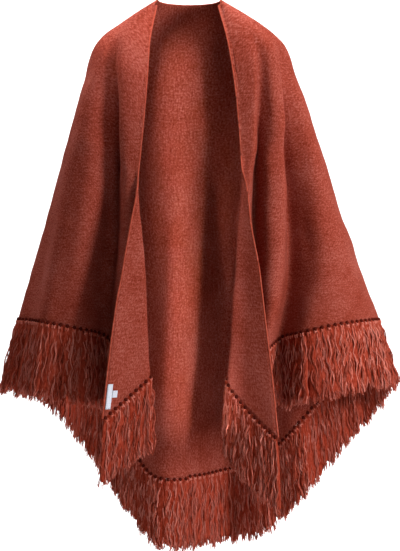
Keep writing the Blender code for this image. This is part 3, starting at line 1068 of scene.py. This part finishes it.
@dataclass
class Fringe:
    """One stretch of the fringe: the knots on the hem and the loose yarn that hangs from each."""

    sheet: Sheet
    stretch: Stretch
    material: bpy.types.Material
    strands: int = 26
    segments: int = 19
    strand_radius: tuple[float, float] = (0.00105, 0.00080)
    clumps: int = 6
    stray_share: float = 0.10

    def __post_init__(self) -> None:
        """Finds each tassel's root on the hem, its way down and its length, as the solids have them."""
        points = self.sheet.points
        self.rng = np.random.default_rng(200 + int(10 * self.stretch.first))
        hem = points[-1]
        along = lengths_along(hem)
        column = np.arange(len(hem))
        step = round(HANG_LEVELS * (len(points) - 1))
        down = unit(points[-1] - points[-1 - step])
        ahead = unit(np.gradient(hem, axis=0))
        square_down = unit(down - ahead * np.sum(down * ahead, axis=1, keepdims=True))
        ends = self.sheet.column_number(np.array([self.stretch.first, self.stretch.last]))
        start, end = np.interp(ends, column, along)
        self.count = round((end - start) / TASSEL_PITCH)
        spots = np.linspace(start, end, CORD_POINTS_A_TASSEL * self.count)
        self.cord_line = points_at(hem, along, spots)
        self.cord_down = unit(points_at(square_down, along, spots))
        number = np.arange(self.count)
        middles = start + (number + 0.5) * (end - start) / self.count
        places = np.interp(middles, along, self.sheet.places)
        follow = np.interp(places, range(-1, 6), FRINGE_FOLLOW)[:, None]
        plumb = np.array([0.0, 0.0, -1.0])
        self.root = points_at(hem, along, middles)
        self.band = unit(points_at(square_down, along, middles))
        self.hang = unit(unit(points_at(down, along, middles)) * follow + plumb * (1 - follow))
        self.ahead = unit(points_at(ahead, along, middles))
        self.outward = unit(np.cross(self.ahead, self.band))
        first_beat, second_beat = FRINGE_RHYTHM
        uneven = 1 + FRINGE_UNEVENNESS * np.sin(number * first_beat) * np.cos(number * second_beat)
        self.length = np.interp(places, LENGTH_PLACES, FRINGE_LENGTHS) * uneven
        self.pitch = (end - start) / self.count

    def loop(self, centre: np.ndarray, first: np.ndarray, axis: np.ndarray, size: tuple[float, float],
             radius: float, tones: tuple[float, float]) -> tuple[Tubes, np.ndarray]:
        """An oval loop of yarn at each knot.

        Args:
            centre: The middle of each loop.
            first: The direction of its first half width; the second is outward.
            axis: The direction that it turns round.
            size: Its two half widths.
            radius: Half the thickness of its yarn.
            tones: The ends of the range of its tone.

        Returns:
            The loops, and the tone of each.
        """
        turn = np.linspace(0, math.tau, RING_POINTS, endpoint=False)[None, :, None]
        wide, deep = size
        first, outward = first[:, None, :], self.outward[:, None, :]
        ring = centre[:, None, :] + first * (wide * np.cos(turn)) + outward * (deep * np.sin(turn))
        away = unit(first * (np.cos(turn) / wide) + outward * (np.sin(turn) / deep))
        across = np.repeat(axis[:, None, :], RING_POINTS, axis=1)
        radii = np.full(ring.shape[:2], radius)
        loops = Tubes(ring, across, away, radii, RING_SIDES, closed=True)
        return loops, self.rng.uniform(*tones, self.count)

    def knots(self) -> list[tuple[Tubes, np.ndarray]]:
        """The knots.

        Returns:
            For each, a dark tube of painted shade in the hole that its yarn comes out of, two loops below it
            and a wrap round them.
        """
        through = HOLE_DEPTH * np.linspace(-1, 1, len(HOLE_RADII))[None, :, None]
        centres = (self.root + self.band * HOLE_DROP)[:, None, :] + self.outward[:, None, :] * through
        radii = np.broadcast_to(HOLE_RADII, centres.shape[:2])
        # Painted shade: a dark tube stands for the shade in the hole between the loops
        shade_holes = Tubes(centres, self.ahead, self.band, radii, HOLE_SIDES)
        groups = [(shade_holes, np.full(self.count, HOLE_SHADE_TONE))]
        for side in LOOP_OFFSETS:
            centre = self.root + self.ahead * side + self.band * LOOP_DROP
            groups.append(self.loop(centre, self.band, self.ahead, LOOP_SIZE, LOOP_RADIUS, LOOP_TONES))
        centre = self.root + self.band * WRAP_DROP
        groups.append(self.loop(centre, self.ahead, self.band, WRAP_SIZE, WRAP_RADIUS, WRAP_TONES))
        return groups

    def cords(self) -> list[tuple[Tubes, np.ndarray]]:
        """Cords behind the knots, which close the gaps between them, coloured dark as painted shade."""
        line, down = self.cord_line, self.cord_down
        outward = unit(np.cross(unit(np.gradient(line, axis=0)), down))
        radii = np.full((1, len(line)), CORD_RADIUS)
        tone = np.array([CORD_SHADE_TONE])
        return [(Tubes((line + down * drop)[None], down[None], outward[None], radii, CORD_SIDES), tone)
                for drop in CORD_DROPS]

    def hung(self, down: np.ndarray, sideways: np.ndarray, forward: np.ndarray) -> np.ndarray:
        """Points that hang from each knot.

        Args:
            down: How far down each point lies.
            sideways: How far along the hem.
            forward: How far out from the cloth.

        Returns:
            The points.
        """
        shape = (self.count, *(1,) * (down.ndim - 1), 3)
        start = (self.root + self.band * YARN_DROP).reshape(shape)
        ways = (way.reshape(shape) for way in (self.hang, self.ahead, self.outward))
        return start + sum(way * far[..., None] for way, far in zip(ways, (down, sideways, forward)))

    def cores(self) -> tuple[Tubes, np.ndarray]:
        """The middle of each tassel, coloured dark as painted shade among the strands.

        Returns:
            One flat bundle a tassel, nearly as wide as its pitch, that ends in a point; and its tone, dark
            for painted shade.
        """
        share = np.linspace(0, 1, CORE_POINTS)[None, :]
        phase = self.rng.uniform(0, math.tau, (self.count, 1))
        widths = (CORE_WIDTH_AT_KNOT, self.pitch * CORE_WIDTH_IN_PITCHES)
        opened = ease((share + FAN_START) / CORE_END_SHARE)
        wide = between(widths, opened) * ease((1.02 - share) / CORE_END_SHARE)
        wide = wide * (1 + CORE_SWELL * np.sin(9 * share + phase))
        sideways = CORE_SWAY * np.sin(14 * share + phase) * share
        length = self.length[:, None] * self.rng.uniform(*CORE_LENGTHS, (self.count, 1))
        centres = self.hung(length * share, sideways, np.zeros(sideways.shape))
        # Painted shade: the cores take dark tones
        tone = self.rng.uniform(*CORE_SHADE_TONES, self.count)
        return Tubes(centres, self.ahead, self.outward * CORE_FLATNESS, wide, CORE_SIDES), tone

    def yarn(self) -> tuple[Tubes, np.ndarray]:
        """The loose strands.

        Returns:
            The strands, which fan out under the knot in clumps, each waving on its own beat; and their tones.
        """
        count, strands = self.count, self.strands
        share = np.linspace(0, 1, self.segments + 1)[None, None, :]
        shape = (count, strands, 1)
        clump = np.arange(strands) * self.clumps // strands

        def of_clump(low: float, high: float) -> np.ndarray:
            """One value between the two for each clump of each tassel, given to all of its strands."""
            return self.rng.uniform(low, high, (count, self.clumps))[:, clump, None]

        middle = np.linspace(*CLUMP_PLACES, self.clumps)[clump][None, :, None]
        fan = middle + of_clump(*CLUMP_JITTER) + self.rng.uniform(*STRAND_JITTER, shape)
        depth = of_clump(*CLUMP_DEPTHS) + self.rng.uniform(*STRAND_DEPTHS, shape)
        phase = of_clump(0, math.tau)
        beat = of_clump(*CLUMP_BEATS)
        lean = of_clump(*CLUMP_LEANS) + self.rng.normal(0, TASSEL_LEAN_SPREAD, (count, 1, 1))
        stray = self.rng.random(shape) < self.stray_share
        lean = lean + np.where(stray, self.rng.normal(0, STRAY_LEAN_SPREAD, shape), 0.0)
        spread = ease((share + FAN_START) / FAN_SHARE)
        widths = (FAN_WIDTH_AT_KNOT, self.pitch * FAN_WIDTH_IN_PITCHES)
        sideways = fan * between(widths, spread) + lean * share**1.2
        forward = depth * between(FAN_DEPTHS, spread)
        growth = ease(share / WAVE_GROWTH)
        sideways += CLUMP_WAVE[0] * growth * np.sin(math.tau * beat * share + phase)
        forward += CLUMP_WAVE[1] * growth * np.cos(math.tau * beat * 0.8 * share + phase * 1.7)
        own_beat = self.rng.uniform(*STRAND_BEATS, shape)
        own_phase = self.rng.uniform(0, math.tau, shape)
        sideways += STRAND_WAVE[0] * growth * np.sin(math.tau * own_beat * share + own_phase)
        forward += STRAND_WAVE[1] * growth * np.cos(math.tau * own_beat * share + own_phase * 2)
        length = self.length[:, None, None] * of_clump(*CLUMP_LENGTHS)
        length = length * self.rng.uniform(*STRAND_LENGTHS, shape) * (1 - FAN_LIFT * fan**2)
        centres = self.hung(length * share, sideways, forward).reshape(count * strands, -1, 3)
        across = np.repeat(self.ahead, strands, axis=0)
        outward = np.repeat(self.outward, strands, axis=0)
        radii = between(self.strand_radius, share) * self.rng.uniform(*STRAND_THICKNESSES, shape)
        tone = of_clump(*CLUMP_TONES)[..., 0] + self.rng.normal(0, STRAND_TONE_SPREAD, (count, strands))
        radii = radii.reshape(count * strands, -1)
        return Tubes(centres, across, outward, radii, STRAND_SIDES), tone.ravel()

    def build(self) -> bpy.types.Object:
        """One mesh for the whole stretch."""
        points, faces, tone = joined([self.yarn(), self.cores(), *self.knots(), *self.cords()])
        piece = new_piece(f"{self.stretch.name}_yarn", points, faces, self.material, tone=tone)
        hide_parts(self.stretch.name)
        return piece


@dataclass
class WovenTab:
    """A tape lying on the left lapel beside its free edge."""

    sheet: Sheet
    tab: Tab
    material: bpy.types.Material
    rows: int = 13
    columns: int = 5

    def build(self) -> bpy.types.Object:
        """A thin wall made from the lapel's own points, moved out."""
        points = self.sheet.points
        heights = points[::-1, 0, 2]
        z = self.tab.foot_z + np.linspace(0, self.tab.length, self.rows)
        edge, inner = (points_at(points[::-1, column], heights, z) for column in (0, 2))
        inner[:, 2] = z
        share = np.linspace(0, 1, self.columns)[None, :, None]
        way = unit(inner - edge)[:, None, :]
        grid = edge[:, None, :] + way * (self.tab.from_free_edge + self.tab.width * share)
        out = unit(np.cross(grid[1, 0] - grid[0, 0], grid[0, 1] - grid[0, 0]))
        forward = -out if out[1] > 0 else out
        grid = grid + forward * (CLOTH_THICKNESS / 2 + SEAM_GAP + LABEL_THICKNESS / 2)
        piece = new_piece(f"{self.tab.name}_tape", grid, grid_faces(self.rows, self.columns), self.material)
        thicken(piece, LABEL_THICKNESS)
        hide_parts(self.tab.name)
        return piece


@dataclass(frozen=True)
class Lamp:
    """An area light and the point that it's turned to. A beam is narrow and doesn't show itself."""

    name: str
    place: tuple[float, float, float]
    target: tuple[float, float, float]
    size: tuple[float, float]
    power: float
    beam: bool


CLOTH_MIDDLE = (0.0, 0.0, -0.55)
BEAM_SPREAD = math.radians(7)
LAMPS = (
    Lamp("front_light", (0.72, -2.68, 0.30), CLOTH_MIDDLE, (0.7, 0.7), 7.5, beam=False),
    Lamp("side_light", (2.22, -1.86, 0.15), CLOTH_MIDDLE, (0.8, 0.8), 76.0, beam=False),
    Lamp("inside_light", (0.256, -0.88, -0.38), (-0.018, 0.10, -0.50), (0.05, 0.85), 0.29, beam=True),
    Lamp("shoulder_light", (-0.80, -1.30, 1.60), (-0.13, -0.06, -0.10), (0.2, 0.2), 0.10, beam=True),
    Lamp("neck_light", (0.10, -0.95, 0.62), (0.03, 0.07, -0.05), (0.12, 0.12), 0.010, beam=True),
    Lamp("backdrop_light", (0.0, 0.9, 1.9), (0.0, 2.8, -0.9), (3.0, 3.0), 190.0, beam=False),
)


@dataclass
class Studio:
    """The floor and backdrop, the lights and the camera."""

    middle: tuple[float, float, float] = (0.0215, 0.0, -0.583)
    distance: float = 3.2
    metres_per_pixel: float = 0.00215
    picture_height: int = 551
    floor_z: float = -1.42
    floor_front: float = -1.2
    bend_start: float = 1.6
    bend: float = 1.2
    bend_points: int = 13
    wall_height: float = 6.0
    half_width: float = 6.0
    sky_strength: float = 0.04

    def build(self) -> None:
        """Sets everything up."""
        self.backdrop()
        for lamp in LAMPS:
            self.light(lamp)
        bpy.data.objects["backdrop_light"].visible_glossy = False
        bpy.context.scene.view_settings.view_transform = "Standard"
        self.sky()
        self.camera()

    def sky(self) -> None:
        """Makes the sky: white to the camera, and a faint light from all round."""
        scene = bpy.context.scene
        scene.world = scene.world or bpy.data.worlds.new("studio")
        scene.world.use_nodes = True
        tree = scene.world.node_tree
        sky = tree.nodes["Background"]
        sky.inputs["Color"].default_value = (1.0, 1.0, 1.0, 1.0)
        seen = tree.nodes.new("ShaderNodeLightPath").outputs["Is Camera Ray"]
        strength = tree.nodes.new("ShaderNodeMath")
        strength.operation = "MAXIMUM"
        strength.inputs[1].default_value = self.sky_strength
        tree.links.new(seen, strength.inputs[0])
        tree.links.new(strength.outputs["Value"], sky.inputs["Strength"])

    def backdrop(self) -> None:
        """A floor that sweeps up into a wall behind: one curved sheet."""
        turn = np.linspace(0, math.pi / 2, self.bend_points)
        profile = np.vstack([
            [[self.floor_front, 0.0]],
            np.stack([self.bend_start + self.bend * np.sin(turn), self.bend * (1 - np.cos(turn))], axis=-1),
            [[self.bend_start + self.bend, self.wall_height]],
        ])
        across = np.linspace(-self.half_width, self.half_width, 5)
        points = np.array([[(x, y, self.floor_z + z) for x in across] for y, z in profile])
        mesh = bpy.data.meshes.new("backdrop")
        mesh.from_pydata(points.reshape(-1, 3), [], grid_faces(*points.shape[:2]))
        mesh.shade_smooth()
        mesh.materials.append(BackdropFinish().material())
        floor = bpy.data.objects.new("backdrop", mesh)
        floor.visible_glossy = False
        bpy.context.scene.collection.objects.link(floor)

    def light(self, lamp: Lamp) -> None:
        """Places a light and turns it to its target.

        Args:
            lamp: The light.
        """
        data = bpy.data.lights.new(lamp.name, "AREA")
        data.size = lamp.size[0]
        data.energy = lamp.power
        if lamp.beam:
            data.shape = "RECTANGLE"
            data.size_y = lamp.size[1]
            data.spread = BEAM_SPREAD
        placed = bpy.data.objects.new(lamp.name, data)
        placed.location = lamp.place
        placed.rotation_euler = (Vector(lamp.target) - Vector(lamp.place)).to_track_quat("-Z", "Y").to_euler()
        placed.visible_camera = not lamp.beam
        bpy.context.scene.collection.objects.link(placed)

    def camera(self) -> None:
        """The photograph's view: level, straight at the front."""
        lens = bpy.data.cameras.new("camera")
        lens.sensor_width = 36.0
        lens.lens = lens.sensor_width * self.distance / (self.picture_height * self.metres_per_pixel)
        camera = bpy.data.objects.new("camera", lens)
        camera.location = (self.middle[0], self.middle[1] - self.distance, self.middle[2])
        camera.rotation_euler = (math.radians(90), 0, 0)
        bpy.context.scene.collection.objects.link(camera)
        bpy.context.scene.camera = camera


def main() -> None:
    """Dresses the frame and sets up its picture."""
    logging.basicConfig(level=logging.INFO, format="%(name)s: %(message)s")
    knit = KnitFinish().material()
    yarn = YarnFinish().material()
    tape = TapeFinish().material()
    sheet = Drape(np.linspace(0, 1, LEVEL_COUNT)).creased_sheet()
    cloth = KnitCloth(sheet, knit).build()
    trimmings = [RolledEdge(sheet, yarn).build()]
    trimmings += [Fringe(sheet, stretch, yarn).build() for stretch in STRETCHES]
    trimmings += [WovenTab(sheet, tab, tape).build() for tab in (LABEL, SIZE_TAB)]
    Studio().build()


if __name__ == "__main__":
    main()
